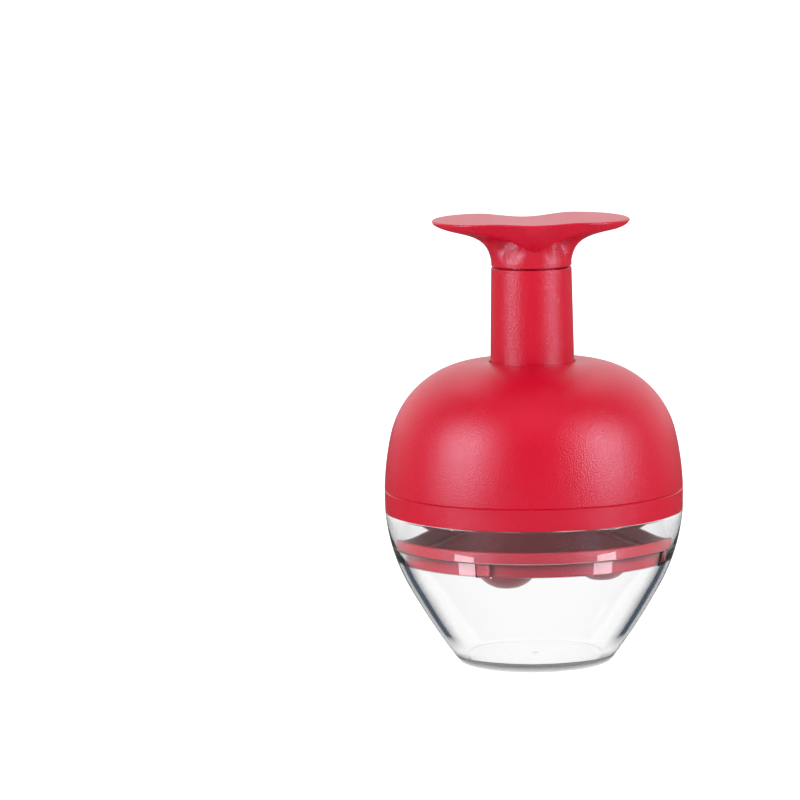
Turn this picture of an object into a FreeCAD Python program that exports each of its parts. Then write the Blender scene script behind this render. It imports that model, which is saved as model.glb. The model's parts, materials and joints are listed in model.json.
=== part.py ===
# Cherry pitter for four cherries: a clear bowl, a drop-in tray with four cups, and a domed head
# with a spring-loaded plunger that drives four steel punches through the cherries.
# Millimetres, +Z up, front towards -Y. The origin is the middle of the bowl's resting face.
import FreeCAD, Part
import math
import os

V = FreeCAD.Vector
UP = V(0, 0, 1)
ORIGIN = V(0, 0, 0)

# Bowl
BOWL_HEIGHT = 51.7          # resting face to the shoulder that carries the head
BOWL_RIM_R = 50.2           # outside, at the shoulder
BOWL_FOOT_R = 25.4          # outside, at the resting face
BOWL_UPPER_ARC = 64.0       # radius of the outline's upper arc
BOWL_UPPER_ARC_RISE = 5.3   # the upper arc would stand upright this far above the shoulder
BOWL_UPPER_ARC_SPAN = 25.8  # height of the upper arc, shoulder to join
BOWL_WALL = 3.5
BOWL_FLOOR = 3.0
BOWL_FLOOR_FILLET = 2.5
BOWL_FOOT_FILLET = 0.8
SHOULDER_WIDTH = 2.0        # flat ring outside the lip, on which the head sits
LIP_HEIGHT = 4.0
LIP_WALL = 1.7
LIP_FILLET = 0.5
NOTCH_COUNT = 2             # notches in the lip that turn the head the right way round
PIP_R = 1.6                 # moulding pip in the middle of the floor
PIP_RISE = 0.6

# Tray seat in the bowl
LEDGE_DROP = 11.3           # shoulder down to the ledge
LEDGE_WIDTH = 3.2
BAND_HEIGHT = 4.6           # upright band under the ledge
TAB_WIDTH = 4.4
TAB_DEPTH = 1.7
TAB_CLEARANCE = 0.3

# Tray
TRAY_CLEARANCE = 0.5        # tray to the bowl's wall, all round
TRAY_WALL = 1.8
TRAY_FLANGE_HEIGHT = 4.0
TRAY_FILLET = 0.5
CUP_COUNT = 4
CUP_TURN = -22.0            # degrees from the front to the first cup, towards +X
CUP_R = 12.1                # outside of a cup's round bottom
CUP_DROP = 7.1              # a cup's lowest point below the tray's underside
CUP_TO_BAND = 7.2           # gap between a cup and the bowl's band
CUP_MOUTH_FILLET = 0.6
PIT_HOLE_R = 4.25
DRAIN_R = 6.5
DRAIN_TO_WALL = 1.8

# Base ring
RING_HEIGHT = 7.3           # shoulder to the seam
RING_LEDGE = 3.5            # thickness of the ledge that carries the plate
LIP_CLEARANCE = 0.3
KEY_WIDTH = 5.0
KEY_CLEARANCE = 0.25
SPIGOT_HEIGHT = 6.0
SPIGOT_WALL = 1.5
SPIGOT_CLEARANCE = 0.15
BEAD_HEIGHT = 0.4
BEAD_WIDTH = 1.5
BEAD_CLEARANCE = 0.1
SEAM_BEVEL = 0.3

# Stripper plate
PLATE_THICKNESS = 2.5
PLATE_SEAT = 3.5            # width of the plate's edge that lies on the ring's ledge
POST_R = 6.0
POST_BORE_R = 4.2
PLATE_SCREW_INSET = 1.8     # plate edge to the screws' circle
PLATE_SCREW_TURN = 45.0     # the plate's screws stand between the punches
PLATE_SCREW_R = 0.95
PLATE_SCREW_HEAD_R = 1.65
PLATE_SCREW_HEAD_HEIGHT = 1.3
PLATE_SCREW_GRIP = 2.8      # depth in the ring

# Dome
DOME_HEIGHT = 42.9          # seam to crown
DOME_WALL = 2.5
DOME_FLANK_ARC = 93.9
DOME_FLANK_DROP = 2.4       # the flank stands upright this far below the seam
DOME_SHOULDER_ARC = 31.3
COLLAR_LENGTH = 2.6
COLLAR_WALL = 2.2

# Plunger
TUBE_R = 14.1               # at the dome
TUBE_TOP_R = 13.5
TUBE_WALL = 2.1
TUBE_CLEARANCE = 0.3
BRIDGE_THICKNESS = 2.5      # web across the tube that the spring and the handle's screw bear on
STOP_GAP = 0.3
PRESS_GAP = 0.4             # flange to plate at the end of the stroke
CAP_TO_CROWN = 1.7          # tube still showing when the plunger is down
FLANGE_THICKNESS = 2.5
FLANGE_MARGIN = 3.9         # punch circle to the flange's edge
CLAMP_THICKNESS = 1.6
CLAMP_BEVEL = 0.8
CLAMP_CLEARANCE = 0.15
CLAMP_SCREW_R = 1.1
CLAMP_SCREW_HEAD_R = 2.1
CLAMP_SCREW_HEAD_HEIGHT = 1.3
CLAMP_SCREW_GRIP = 2.0

# Punches and their seals
PUNCH_R = 2.5
PUNCH_HEAD_R = 3.3
PUNCH_HEAD_THICKNESS = 1.2
PUNCH_TIP_BEVEL = 0.5
PUNCH_CLEARANCE = 0.05
PUNCH_TIP_INSET = 0.8       # tip above the plate's underside at rest
SEAL_WALL = 1.0
SEAL_GAP = 0.15
SEAL_LIP_R = 4.3
SEAL_LIP_THICKNESS = 0.7
SEAL_CLEARANCE = 0.03

# Spring and its washer
SPRING_WIRE_R = 0.6
SPRING_R = 8.6              # to the middle of the wire
SPRING_TURNS = 11
SPRING_GAP = 0.05
WASHER_THICKNESS = 1.2
WASHER_BORE_R = 5.0
WASHER_CLEARANCE = 0.4

# Handle cap
CAP_SEAM = 0.5              # dark line between cap and tube
CAP_SPIGOT_DEPTH = 5.1
CAP_SPIGOT_WALL = 1.8
CAP_SPIGOT_CLEARANCE = 0.15
CAP_HOLLOW_ROOF = 7.0       # solid plastic left above the hollow, up to the valley
CAP_BOSS_R = 3.8
HANDLE_RISE = 16.4          # tube's top to the crest of the lobes
HANDLE_HALF_SPAN = 33.4
LOBE_MIDDLE = 16.5          # the lobes' middles from the axis
LOBE_FRONT = 19.4
LOBE_BACK = 24.0
FRONT_NOTCH = 0.7
BACK_NOTCH = 2.9
VALLEY_DEPTH = 1.35
VALLEY_HALF_WIDTH = 5.0
TIP_DROP = 0.9
TIP_THICKNESS = 3.0
LOBE_THICKNESS = 6.2        # at the neck
KEEL_DEPTH = 3.3
KEEL_HALF_WIDTH = 11.5
HANDLE_DRAFT = 0.6          # inward lean of the handle's edge for each millimetre down
FLARE_R = 7.7               # hollow curve between the neck and the lobes
FLARE_SQUASH = 0.7          # front-to-back share of the flare's width
FLARE_SECTIONS = 6
FLARE_SINK = 1.0            # how far the flare and the neck run up into the lobes
HANDLE_TOP_FILLET = 1.1
HANDLE_TURN = 5.5           # the keel points this many degrees to the right of the front
HANDLE_SCREW_R = 1.6
HANDLE_SCREW_HEAD_R = 3.4
HANDLE_SCREW_HEAD_HEIGHT = 2.2
HANDLE_SCREW_GRIP = 9.0
SCREW_CLEARANCE = 0.05
RECESS_WIDTH = 0.28         # width of a cross recess's slot, as a share of the head's radius
RECESS_SPAN = 0.6           # half its length, as the same kind of share
RECESS_DEPTH = 0.5          # and its depth, as a share of the head's height
QUARTER_STEPS = 8           # points along a quarter of a lobe's outline

# Heights that follow
RIM_Z = BOWL_HEIGHT
LEDGE_Z = RIM_Z - LEDGE_DROP
BAND_Z = LEDGE_Z - BAND_HEIGHT
LIP_Z = RIM_Z + LIP_HEIGHT
SEAM_Z = RIM_Z + RING_HEIGHT
RING_LEDGE_Z = LIP_Z + LIP_CLEARANCE
PLATE_Z = RING_LEDGE_Z + RING_LEDGE
PLATE_TOP_Z = PLATE_Z + PLATE_THICKNESS
CROWN_Z = SEAM_Z + DOME_HEIGHT
COLLAR_Z = CROWN_Z - DOME_WALL - COLLAR_LENGTH
CLAMP_TOP_Z = COLLAR_Z - STOP_GAP
CLAMP_Z = CLAMP_TOP_Z - CLAMP_THICKNESS
FLANGE_Z = CLAMP_Z - FLANGE_THICKNESS
STROKE = FLANGE_Z - PLATE_TOP_Z - PRESS_GAP
TUBE_TOP_Z = CROWN_Z + STROKE + CAP_TO_CROWN
BRIDGE_TOP_Z = TUBE_TOP_Z - CAP_SPIGOT_DEPTH
BRIDGE_Z = BRIDGE_TOP_Z - BRIDGE_THICKNESS
WASHER_Z = BRIDGE_Z - WASHER_THICKNESS
POST_TOP_Z = WASHER_Z - STROKE - PRESS_GAP
CREST_Z = TUBE_TOP_Z + HANDLE_RISE
VALLEY_Z = CREST_Z - VALLEY_DEPTH
LOBE_Z = CREST_Z - LOBE_THICKNESS
KEEL_Z = LOBE_Z - KEEL_DEPTH

# Radii that follow
LIP_R = BOWL_RIM_R - SHOULDER_WIDTH
THROAT_R = LIP_R - LIP_WALL
BAND_R = THROAT_R - LEDGE_WIDTH
TRAY_FLANGE_R = THROAT_R - TRAY_CLEARANCE
TRAY_DRUM_R = BAND_R - TRAY_CLEARANCE
CUP_CIRCLE_R = BAND_R - CUP_R - CUP_TO_BAND
DOME_R = BOWL_RIM_R + 0.1
SKIRT_R = LIP_R + LIP_CLEARANCE
REBATE_R = DOME_R - DOME_WALL
SPIGOT_R = REBATE_R - SPIGOT_CLEARANCE
PLATE_R = SPIGOT_R - SPIGOT_WALL - SPIGOT_CLEARANCE
DOME_HOLE_R = TUBE_R + TUBE_CLEARANCE
TUBE_BORE_R = TUBE_TOP_R - TUBE_WALL
FLANGE_R = CUP_CIRCLE_R + FLANGE_MARGIN
SEAL_BORE_R = PUNCH_R + SEAL_GAP
SEAL_R = SEAL_BORE_R + SEAL_WALL

HALF_STEP = 180.0 / CUP_COUNT
CUP_ANGLES = [CUP_TURN + step * 360.0 / CUP_COUNT for step in range(CUP_COUNT)]
KEY_ANGLES = [CUP_TURN + HALF_STEP + step * 360.0 / NOTCH_COUNT for step in range(NOTCH_COUNT)]
PLATE_SCREW_ANGLES = [angle + PLATE_SCREW_TURN for angle in CUP_ANGLES]


def polar(radius, angle, height=0.0):
    """A point at an angle from the front (-Y), turning towards +X."""
    turn = math.radians(angle)
    return V(radius * math.sin(turn), -radius * math.cos(turn), height)


def at(radius, height):
    """A point of a turned outline: radius along X, height along Z."""
    return V(radius, 0, height)


def line(start, end):
    return Part.LineSegment(start, end).toShape()


def arc(start, middle, end):
    return Part.Arc(start, middle, end).toShape()


def chain(points):
    """Straight edges from point to point."""
    return [line(first, second) for first, second in zip(points, points[1:])]


def turned(edges):
    """A solid of revolution about the Z axis."""
    return Part.Face(Part.Wire(edges)).revolve(ORIGIN, UP, 360)


def turned_polygon(corners):
    """A solid of revolution from (radius, height) corners."""
    points = [at(radius, height) for radius, height in corners]
    return turned(chain(points + points[:1]))


def circle_point(centre, radius, angle):
    return V(centre.x + radius * math.cos(angle), 0, centre.z + radius * math.sin(angle))


def circle_arc(centre, radius, start, end):
    """An arc in the XZ plane between two angles in radians."""
    ends = [circle_point(centre, radius, angle) for angle in (start, (start + end) / 2, end)]
    return arc(*ends)


def cylinder(radius, bottom, top, place=ORIGIN):
    return Part.makeCylinder(radius, top - bottom, V(place.x, place.y, bottom))


def radial_block(inner, outer, width, bottom, top, angle):
    """A straight block across the given radii, turned to an angle from the front."""
    block = Part.makeBox(width, outer - inner, top - bottom, V(-width / 2, -outer, bottom))
    block.rotate(ORIGIN, UP, angle)
    return block


def rim_edges(solid, radius, height):
    """The round edges of a turned solid at one radius and height."""
    found = []
    for edge in solid.Edges:
        curve = edge.Curve
        if curve.TypeId != "Part::GeomCircle":
            continue
        if abs(curve.Radius - radius) < 0.01 and abs(curve.Center.z - height) < 0.01:
            found.append(edge)
    return found


def cross_headed_screw(shank_r, head_r, head_height, length, clearance=0.0):
    """A screw that points down, with its head's underside at the origin."""
    head = cylinder(head_r, 0, head_height)
    head = head.makeChamfer(head_height * RECESS_DEPTH, rim_edges(head, head_r, head_height))
    screw = head.fuse(cylinder(shank_r - clearance, -length, 0))
    for angle in (0, 90):
        slot = radial_block(-head_r * RECESS_SPAN, head_r * RECESS_SPAN, head_r * RECESS_WIDTH,
                            head_height * RECESS_DEPTH, head_height, angle)
        screw = screw.cut(slot)
    return screw.removeSplitter()


def arc_radius(centre, radius, height):
    """Distance of an outline arc from the Z axis at a height. An arc that bends inwards has a minus radius."""
    return centre.x + math.copysign(math.sqrt(radius ** 2 - (height - centre.z) ** 2), radius)


def arc_angle(centre, radius, height):
    return math.asin((height - centre.z) / radius)


# Bowl

def bowl_arcs():
    """Centres, radius and join angle of the bowl's outline: an upper and a lower arc that meet smoothly."""
    drop = BOWL_UPPER_ARC_RISE
    lean = BOWL_UPPER_ARC - math.sqrt(BOWL_UPPER_ARC ** 2 - drop ** 2)
    upper = at(BOWL_RIM_R + lean - BOWL_UPPER_ARC, RIM_Z + drop)
    join = arc_angle(upper, BOWL_UPPER_ARC, RIM_Z - BOWL_UPPER_ARC_SPAN)
    outward = at(math.cos(join), math.sin(join))
    foot = at(BOWL_FOOT_R, 0) - upper
    along = foot.dot(outward)
    reach = foot.dot(foot) + BOWL_UPPER_ARC ** 2 - 2 * BOWL_UPPER_ARC * along
    lower_r = reach / (2 * (BOWL_UPPER_ARC - along))
    lower = upper - outward * (lower_r - BOWL_UPPER_ARC)
    return upper, lower, lower_r, join


def make_bowl():
    upper, lower, lower_r, join = bowl_arcs()
    inner_upper_r = BOWL_UPPER_ARC - BOWL_WALL
    inner_lower_r = lower_r - BOWL_WALL
    band_foot = at(arc_radius(upper, inner_upper_r, BAND_Z), BAND_Z)
    floor_edge = at(arc_radius(lower, inner_lower_r, BOWL_FLOOR), BOWL_FLOOR)
    edges = [line(ORIGIN, at(BOWL_FOOT_R, 0)),
             circle_arc(lower, lower_r, arc_angle(lower, lower_r, 0), join),
             circle_arc(upper, BOWL_UPPER_ARC, join, arc_angle(upper, BOWL_UPPER_ARC, RIM_Z))]
    edges += chain([at(BOWL_RIM_R, RIM_Z), at(LIP_R, RIM_Z), at(LIP_R, LIP_Z), at(THROAT_R, LIP_Z),
                    at(THROAT_R, LEDGE_Z), at(BAND_R, LEDGE_Z), at(BAND_R, BAND_Z), band_foot])
    edges += [circle_arc(upper, inner_upper_r, arc_angle(upper, inner_upper_r, BAND_Z), join),
              circle_arc(lower, inner_lower_r, join, arc_angle(lower, inner_lower_r, BOWL_FLOOR)),
              line(floor_edge, at(0, BOWL_FLOOR)), line(at(0, BOWL_FLOOR), ORIGIN)]
    bowl = turned(edges)
    bowl = bowl.makeFillet(BOWL_FLOOR_FILLET, rim_edges(bowl, floor_edge.x, BOWL_FLOOR))
    bowl = bowl.makeFillet(BOWL_FOOT_FILLET, rim_edges(bowl, BOWL_FOOT_R, 0))
    bowl = bowl.makeFillet(LIP_FILLET, rim_edges(bowl, LIP_R, LIP_Z) + rim_edges(bowl, THROAT_R, LIP_Z))
    keyway_r = BAND_R + TAB_DEPTH - TRAY_CLEARANCE + TAB_CLEARANCE
    for angle in CUP_ANGLES:
        bowl = bowl.cut(radial_block(BAND_R - LEDGE_WIDTH, keyway_r, TAB_WIDTH + 2 * TAB_CLEARANCE,
                                     BAND_Z - TAB_CLEARANCE, LEDGE_Z, angle))
    for angle in KEY_ANGLES:
        bowl = bowl.cut(radial_block(THROAT_R - LIP_WALL, LIP_R + LIP_WALL, KEY_WIDTH + 2 * KEY_CLEARANCE,
                                     RIM_Z, LIP_Z, angle))
    pip = Part.makeSphere(PIP_R, V(0, 0, BOWL_FLOOR + PIP_RISE - PIP_R))
    return bowl.fuse(pip).removeSplitter()


# Tray

def make_tray():
    deck_z = BAND_Z + TRAY_WALL
    flange_top = LEDGE_Z + TRAY_FLANGE_HEIGHT
    drum_inner = TRAY_DRUM_R - TRAY_WALL
    flange_inner = TRAY_FLANGE_R - TRAY_WALL
    tray = turned_polygon([(0, BAND_Z), (TRAY_DRUM_R, BAND_Z), (TRAY_DRUM_R, LEDGE_Z),
                           (TRAY_FLANGE_R, LEDGE_Z), (TRAY_FLANGE_R, flange_top), (flange_inner, flange_top),
                           (flange_inner, LEDGE_Z + TRAY_WALL), (drum_inner, LEDGE_Z + TRAY_WALL),
                           (drum_inner, deck_z), (0, deck_z)])
    for radius, height in ((TRAY_DRUM_R, BAND_Z), (TRAY_FLANGE_R, flange_top), (flange_inner, flange_top),
                           (drum_inner, LEDGE_Z + TRAY_WALL), (drum_inner, deck_z)):
        tray = tray.makeFillet(TRAY_FILLET, rim_edges(tray, radius, height))
    for angle in CUP_ANGLES:
        tray = tray.fuse(radial_block(drum_inner + TRAY_WALL / 2, TRAY_DRUM_R + TAB_DEPTH, TAB_WIDTH,
                                      BAND_Z + TRAY_FILLET, LEDGE_Z + TRAY_WALL / 2, angle))
    cup_middle_z = BAND_Z - CUP_DROP + CUP_R
    below = cylinder(TRAY_FLANGE_R, BAND_Z - CUP_DROP, deck_z)
    for angle in CUP_ANGLES:
        middle = polar(CUP_CIRCLE_R, angle, cup_middle_z)
        tray = tray.fuse(Part.makeSphere(CUP_R, middle).common(below))
    for angle in CUP_ANGLES:
        middle = polar(CUP_CIRCLE_R, angle, cup_middle_z)
        tray = tray.cut(Part.makeSphere(CUP_R - TRAY_WALL, middle))
        tray = tray.cut(cylinder(PIT_HOLE_R, BAND_Z - CUP_DROP, deck_z, middle))
    for angle in CUP_ANGLES:
        middle = polar(drum_inner - DRAIN_TO_WALL - DRAIN_R, angle + HALF_STEP)
        tray = tray.cut(cylinder(DRAIN_R, BAND_Z, deck_z, middle))
    tray = tray.removeSplitter()
    mouth_r = math.sqrt((CUP_R - TRAY_WALL) ** 2 - (deck_z - cup_middle_z) ** 2)
    return tray.makeFillet(CUP_MOUTH_FILLET, rim_edges(tray, mouth_r, deck_z))


# Head: base ring, stripper plate, seals and dome

def make_base_ring():
    bead_z = SEAM_Z + SPIGOT_HEIGHT / 2
    bead_top = bead_z + BEAD_WIDTH
    bead_r = SPIGOT_R + BEAD_HEIGHT
    spigot_top = SEAM_Z + SPIGOT_HEIGHT
    spigot_inner = SPIGOT_R - SPIGOT_WALL
    ledge_r = PLATE_R - PLATE_SEAT
    ring = turned_polygon([
        (BOWL_RIM_R, RIM_Z), (DOME_R, SEAM_Z - SEAM_BEVEL), (DOME_R - SEAM_BEVEL, SEAM_Z), (SPIGOT_R, SEAM_Z),
        (SPIGOT_R, bead_z), (bead_r, bead_z + BEAD_HEIGHT), (bead_r, bead_top - BEAD_HEIGHT),
        (SPIGOT_R, bead_top), (SPIGOT_R, spigot_top), (spigot_inner, spigot_top), (spigot_inner, PLATE_Z),
        (ledge_r, PLATE_Z), (ledge_r, RING_LEDGE_Z), (SKIRT_R, RING_LEDGE_Z), (SKIRT_R, RIM_Z)])
    for angle in KEY_ANGLES:
        key = radial_block(THROAT_R + LIP_CLEARANCE, SKIRT_R + LIP_CLEARANCE, KEY_WIDTH,
                           RIM_Z + LIP_CLEARANCE, PLATE_Z - RING_LEDGE / 2, angle)
        ring = ring.fuse(key)
    for angle in PLATE_SCREW_ANGLES:
        place = polar(PLATE_R - PLATE_SCREW_INSET, angle)
        ring = ring.cut(cylinder(PLATE_SCREW_R, PLATE_Z - PLATE_SCREW_GRIP - SCREW_CLEARANCE, PLATE_Z, place))
    return ring.removeSplitter()


def make_stripper_plate():
    plate = cylinder(PLATE_R, PLATE_Z, PLATE_TOP_Z).fuse(cylinder(POST_R, PLATE_TOP_Z, POST_TOP_Z))
    plate = plate.cut(cylinder(POST_BORE_R, PLATE_TOP_Z, POST_TOP_Z))
    for angle in CUP_ANGLES:
        plate = plate.cut(cylinder(SEAL_R + SEAL_CLEARANCE, PLATE_Z, PLATE_TOP_Z, polar(CUP_CIRCLE_R, angle)))
    for angle in PLATE_SCREW_ANGLES:
        place = polar(PLATE_R - PLATE_SCREW_INSET, angle)
        plate = plate.cut(cylinder(PLATE_SCREW_R, PLATE_Z, PLATE_TOP_Z, place))
    return plate.removeSplitter()


def make_plate_screws():
    screws = []
    for angle in PLATE_SCREW_ANGLES:
        screw = cross_headed_screw(PLATE_SCREW_R, PLATE_SCREW_HEAD_R, PLATE_SCREW_HEAD_HEIGHT,
                                   PLATE_THICKNESS + PLATE_SCREW_GRIP, SCREW_CLEARANCE)
        screw.translate(polar(PLATE_R - PLATE_SCREW_INSET, angle, PLATE_TOP_Z))
        screws.append(screw)
    return Part.makeCompound(screws)


def make_seal(angle):
    """A soft bush in the plate: a plain sleeve with a lip that shows on the plate's underside."""
    lip_z = PLATE_Z - SEAL_LIP_THICKNESS
    seal = turned_polygon([(SEAL_BORE_R, lip_z), (SEAL_LIP_R, lip_z), (SEAL_LIP_R, PLATE_Z),
                           (SEAL_R, PLATE_Z), (SEAL_R, PLATE_TOP_Z), (SEAL_BORE_R, PLATE_TOP_Z)])
    seal = seal.makeFillet(SEAL_LIP_THICKNESS / 2, rim_edges(seal, SEAL_LIP_R, lip_z))
    seal.translate(polar(CUP_CIRCLE_R, angle))
    return seal


def dome_arcs(inset):
    """Centres, radii and join angle of the dome's outline, set in from the outside by a distance."""
    lean = DOME_FLANK_ARC - math.sqrt(DOME_FLANK_ARC ** 2 - DOME_FLANK_DROP ** 2)
    flank = at(DOME_R + lean - DOME_FLANK_ARC, SEAM_Z - DOME_FLANK_DROP)
    apart = DOME_FLANK_ARC - DOME_SHOULDER_ARC
    rise = CROWN_Z - DOME_SHOULDER_ARC - flank.z
    join = math.asin(rise / apart)
    shoulder = circle_point(flank, apart, join)
    return flank, DOME_FLANK_ARC - inset, shoulder, DOME_SHOULDER_ARC - inset, join


def make_dome():
    flank, flank_r, shoulder, shoulder_r, join = dome_arcs(0)
    foot_angle = arc_angle(flank, flank_r, SEAM_Z + SEAM_BEVEL)
    edges = [line(at(DOME_R - SEAM_BEVEL, SEAM_Z), circle_point(flank, flank_r, foot_angle)),
             circle_arc(flank, flank_r, foot_angle, join),
             circle_arc(shoulder, shoulder_r, join, math.pi / 2)]
    roof_z = CROWN_Z - DOME_WALL
    collar_r = DOME_HOLE_R + COLLAR_WALL
    _, inner_flank_r, _, inner_shoulder_r, _ = dome_arcs(DOME_WALL)
    edges += chain([at(shoulder.x, CROWN_Z), at(DOME_HOLE_R, CROWN_Z), at(DOME_HOLE_R, COLLAR_Z),
                    at(collar_r, COLLAR_Z), at(collar_r, roof_z), at(shoulder.x, roof_z)])
    rebate_top = SEAM_Z + SPIGOT_HEIGHT + SPIGOT_CLEARANCE
    rebate_angle = arc_angle(flank, inner_flank_r, rebate_top)
    edges += [circle_arc(shoulder, inner_shoulder_r, math.pi / 2, join),
              circle_arc(flank, inner_flank_r, join, rebate_angle)]
    groove_z = SEAM_Z + SPIGOT_HEIGHT / 2 - BEAD_CLEARANCE
    groove_top = groove_z + BEAD_WIDTH + 2 * BEAD_CLEARANCE
    groove_r = SPIGOT_R + BEAD_HEIGHT + BEAD_CLEARANCE
    slope = groove_r - REBATE_R
    edges += chain([circle_point(flank, inner_flank_r, rebate_angle), at(REBATE_R, rebate_top),
                    at(REBATE_R, groove_top), at(groove_r, groove_top - slope),
                    at(groove_r, groove_z + slope), at(REBATE_R, groove_z), at(REBATE_R, SEAM_Z),
                    at(DOME_R - SEAM_BEVEL, SEAM_Z)])
    return turned(edges)


# Plunger: tube with its flange, clamp ring, screws and punches

def make_tube():
    tube = turned_polygon([
        (TUBE_BORE_R, FLANGE_Z), (FLANGE_R, FLANGE_Z), (FLANGE_R, CLAMP_Z), (TUBE_R, CLAMP_Z),
        (TUBE_R, CROWN_Z), (TUBE_TOP_R, TUBE_TOP_Z), (TUBE_BORE_R, TUBE_TOP_Z), (TUBE_BORE_R, BRIDGE_TOP_Z),
        (HANDLE_SCREW_R, BRIDGE_TOP_Z), (HANDLE_SCREW_R, BRIDGE_Z), (TUBE_BORE_R, BRIDGE_Z)])
    for angle in CUP_ANGLES:
        place = polar(CUP_CIRCLE_R, angle)
        head_z = CLAMP_Z - PUNCH_HEAD_THICKNESS
        tube = tube.cut(cylinder(PUNCH_R + PUNCH_CLEARANCE, FLANGE_Z, CLAMP_Z, place))
        tube = tube.cut(cylinder(PUNCH_HEAD_R + PUNCH_CLEARANCE, head_z, CLAMP_Z, place))
    for place in clamp_screw_places():
        tube = tube.cut(cylinder(CLAMP_SCREW_R, CLAMP_Z - CLAMP_SCREW_GRIP, CLAMP_Z, place))
    return tube.removeSplitter()


def clamp_screw_places():
    """The clamp's screws stand on the punches' circle, half way between them."""
    return [polar(CUP_CIRCLE_R, angle + HALF_STEP) for angle in CUP_ANGLES]


def make_clamp():
    clamp = turned_polygon([(TUBE_R + CLAMP_CLEARANCE, CLAMP_Z), (FLANGE_R, CLAMP_Z),
                            (FLANGE_R, CLAMP_TOP_Z - CLAMP_BEVEL), (FLANGE_R - CLAMP_BEVEL, CLAMP_TOP_Z),
                            (TUBE_R + CLAMP_CLEARANCE, CLAMP_TOP_Z)])
    for place in clamp_screw_places():
        clamp = clamp.cut(cylinder(CLAMP_SCREW_R, CLAMP_Z, CLAMP_TOP_Z, place))
    return clamp


def make_clamp_screws():
    screws = []
    for place in clamp_screw_places():
        screw = cross_headed_screw(CLAMP_SCREW_R, CLAMP_SCREW_HEAD_R, CLAMP_SCREW_HEAD_HEIGHT,
                                   CLAMP_THICKNESS + CLAMP_SCREW_GRIP - SCREW_CLEARANCE, SCREW_CLEARANCE)
        screw.translate(V(place.x, place.y, CLAMP_TOP_Z))
        screws.append(screw)
    return Part.makeCompound(screws)


def make_punch(angle):
    tip_z = PLATE_Z + PUNCH_TIP_INSET
    head_z = CLAMP_Z - PUNCH_HEAD_THICKNESS
    punch = turned_polygon([(0, tip_z), (PUNCH_R - PUNCH_TIP_BEVEL, tip_z),
                            (PUNCH_R, tip_z + PUNCH_TIP_BEVEL), (PUNCH_R, head_z), (PUNCH_HEAD_R, head_z),
                            (PUNCH_HEAD_R, CLAMP_Z), (0, CLAMP_Z)])
    punch.translate(polar(CUP_CIRCLE_R, angle))
    return punch


def make_washer():
    return turned_polygon([(WASHER_BORE_R, WASHER_Z), (TUBE_BORE_R - WASHER_CLEARANCE, WASHER_Z),
                           (TUBE_BORE_R - WASHER_CLEARANCE, BRIDGE_Z), (WASHER_BORE_R, BRIDGE_Z)])


def make_spring():
    """A round-wire compression spring between the plate and the washer."""
    bottom = PLATE_TOP_Z + SPRING_WIRE_R + SPRING_GAP
    height = WASHER_Z - SPRING_WIRE_R - SPRING_GAP - bottom
    coil = Part.makeHelix(height / SPRING_TURNS, height, SPRING_R)
    coil.translate(V(0, 0, bottom))
    section = Part.Wire(Part.makeCircle(SPRING_WIRE_R, V(SPRING_R, 0, bottom), V(0, 1, 0)))
    return Part.Solid(Part.Wire(coil.Edges).makePipeShell([section], True, True))


# Handle cap

def handle_outline(inset, height):
    """The handle's outline from above: two lobes that meet in a shallow notch at the front and back."""
    reach = HANDLE_HALF_SPAN - LOBE_MIDDLE - inset
    front = LOBE_FRONT - inset
    back = LOBE_BACK - inset
    edges = []
    for side in (1, -1):
        middle = V(side * LOBE_MIDDLE, 0, height)
        tip = V(side * (LOBE_MIDDLE + reach), 0, height)
        lobe_front = middle - V(0, front, 0)
        lobe_back = middle + V(0, back, 0)
        front_notch = V(0, FRONT_NOTCH - front, height)
        back_notch = V(0, back - BACK_NOTCH, height)
        front_middle = V(side * LOBE_MIDDLE / 2, FRONT_NOTCH / 4 - front, height)
        back_middle = V(side * LOBE_MIDDLE / 2, back - BACK_NOTCH / 4, height)
        half = [arc(front_notch, front_middle, lobe_front),
                quarter(middle, lobe_front, tip), quarter(middle, tip, lobe_back),
                arc(lobe_back, back_middle, back_notch)]
        edges += half if side > 0 else half[::-1]
    return Part.Wire(Part.sortEdges(edges)[0])


def quarter(middle, start, end):
    """A quarter of an ellipse about a middle, from one of its ends to the other."""
    first = start - middle
    second = end - middle
    points = []
    for step in range(QUARTER_STEPS + 1):
        turn = math.pi / 2 * step / QUARTER_STEPS
        points.append(middle + first * math.cos(turn) + second * math.sin(turn))
    curve = Part.BSplineCurve()
    curve.interpolate(points, InitialTangent=second, FinalTangent=first * -1)
    return curve.toShape()


def handle_section():
    """The handle seen from the front: lobes, valley between them and keel below."""
    reach = HANDLE_HALF_SPAN + TIP_THICKNESS
    tip_z = CREST_Z - TIP_DROP
    valley_side = CREST_Z - VALLEY_DEPTH / 2
    edges = []
    for side in (-1, 1):
        edges.append(arc(V(side * reach, 0, tip_z), V(side * LOBE_MIDDLE, 0, CREST_Z),
                         V(side * VALLEY_HALF_WIDTH, 0, valley_side)))
        edges.append(line(V(side * reach, 0, tip_z), V(side * reach, 0, tip_z - TIP_THICKNESS)))
        edges.append(line(V(side * reach, 0, tip_z - TIP_THICKNESS), V(side * KEEL_HALF_WIDTH, 0, LOBE_Z)))
        edges.append(line(V(side * KEEL_HALF_WIDTH, 0, LOBE_Z), V(0, 0, KEEL_Z)))
    edges.append(arc(V(-VALLEY_HALF_WIDTH, 0, valley_side), V(0, 0, VALLEY_Z),
                     V(VALLEY_HALF_WIDTH, 0, valley_side)))
    return Part.Face(Part.Wire(Part.sortEdges(edges)[0]))


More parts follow.
